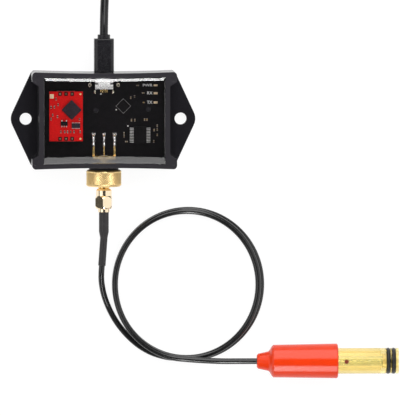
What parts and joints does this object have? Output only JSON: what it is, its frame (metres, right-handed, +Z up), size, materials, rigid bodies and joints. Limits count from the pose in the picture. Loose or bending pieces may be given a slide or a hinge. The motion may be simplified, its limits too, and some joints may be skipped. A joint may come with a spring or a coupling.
{
  "type": "water quality probe with usb interface box",
  "caption": "Probe with an orange cap and amber barrel on a looped coaxial cable, screwed to a small resin-potted USB interface box with mounting ears and a coiled USB lead.",
  "frame": {"origin": "centre of the interface box's base, on the surface it stands on", "axes": "+X along the box towards the probe's tip, +Y towards the USB lead, +Z up out of the base"},
  "size_m": [0.1625, 0.2216, 0.02],
  "materials": {
    "case_plastic": "fine moulded texture",
    "clear_resin": "clear, glossy",
    "black_board": "satin solder mask",
    "red_board": "satin solder mask",
    "black_plastic": "moulded, matte",
    "chip_plastic": "matte",
    "gold_plate": "gold plated, satin",
    "nut_brass": "plated brass, knurled",
    "plug_gold": "gold plated, polished",
    "tinned": "tinned, satin",
    "solder": "soldered, glossy",
    "small_parts": "matte",
    "led_body": "diffuse",
    "washer_rubber": "matte",
    "white_insulator": "waxy",
    "sleeve_black": "heat-shrink, satin",
    "coax_jacket": "extruded jacket, satin",
    "cap_orange": "moulded, satin",
    "amber_barrel": "translucent, satin",
    "oring_rubber": "satin",
    "electrode_glass": "clear",
    "silver_wire": "drawn wire",
    "porous_ceramic": "porous, matte",
    "plug_brown": "matte",
    "usb_steel": "nickel plated, satin",
    "usb_jacket": "extruded jacket, satin"
  },
  "bodies": {
    "box": {"enclosure": "case_plastic", "potting_resin": "clear_resin", "carrier_board": "black_board", "module_board": "red_board", "module_pins": "gold_plate", "module_sockets": "black_plastic", "module_controller": "chip_plastic", "module_amplifier": "chip_plastic", "module_converter": "chip_plastic", "module_leads": "tinned", "module_passives": "small_parts", "module_led": "led_body", "usb_bridge_chip": "chip_plastic", "isolator_chip": "chip_plastic", "isolator_leads": "tinned", "carrier_passives": "small_parts", "power_led": "led_body", "receive_led": "led_body", "transmit_led": "led_body", "usb_socket_shell": "usb_steel", "usb_socket_tongue": "black_plastic", "usb_socket_contacts": "gold_plate", "jack_body": "gold_plate", "jack_insulator": "white_insulator", "jack_contact": "gold_plate", "solder_joints": "solder"},
    "washer": {"sealing_washer": "washer_rubber"},
    "clamp_nut": {"clamp_nut": "nut_brass"},
    "probe_lead": {"plug_body": "plug_gold", "plug_insulator": "white_insulator", "plug_contact": "plug_gold", "strain_sleeve": "sleeve_black", "probe_cable": "coax_jacket", "probe_cap": "cap_orange", "probe_barrel": "amber_barrel", "oring_rear": "oring_rubber", "oring_front": "oring_rubber", "glass_electrode": "electrode_glass", "electrode_wire": "silver_wire", "reference_junction": "porous_ceramic", "rear_seal": "oring_rubber", "fill_plug": "plug_brown"},
    "coupling_nut": {"coupling_nut": "plug_gold"},
    "usb_lead": {"usb_plug_shell": "usb_steel", "usb_plug_insulator": "black_plastic", "usb_grip": "black_plastic", "usb_collar": "black_plastic", "usb_cable": "usb_jacket", "usb_coil": "usb_jacket", "usb_cable_tail": "usb_jacket", "usb_a_collar": "black_plastic", "usb_a_grip": "black_plastic", "usb_a_shell": "usb_steel", "usb_a_insulator": "white_insulator", "usb_a_contacts": "gold_plate"}
  },
  "joints": [
    {"name": "clamp_nut_turn", "type": "hinge", "parent": "washer", "child": "clamp_nut", "pos_m": [0, -0.0245, 0.01], "axis": [0, -1, 0], "range_deg": [0, 358]},
    {"name": "washer_slide", "type": "slide", "parent": "box", "child": "washer", "axis": [0, -1, 0], "range_m": [0, 0.0007]},
    {"name": "plug_slide", "type": "slide", "parent": "box", "child": "probe_lead", "axis": [0, -1, 0], "range_m": [0, 0.00424]},
    {"name": "coupling_nut_turn", "type": "hinge", "parent": "probe_lead", "child": "coupling_nut", "pos_m": [0, -0.033, 0.01], "axis": [0, -1, 0], "range_deg": [0, 2164]},
    {"name": "usb_unplug", "type": "slide", "parent": "box", "child": "usb_lead", "axis": [0, 1, 0], "range_m": [0, 0.008]}
  ],
  "couplings": [
    {"joint": "clamp_nut_turn", "follows": "washer_slide", "rad_per_m": 8905.3},
    {"joint": "coupling_nut_turn", "follows": "plug_slide", "rad_per_m": 8905.3}
  ]
}
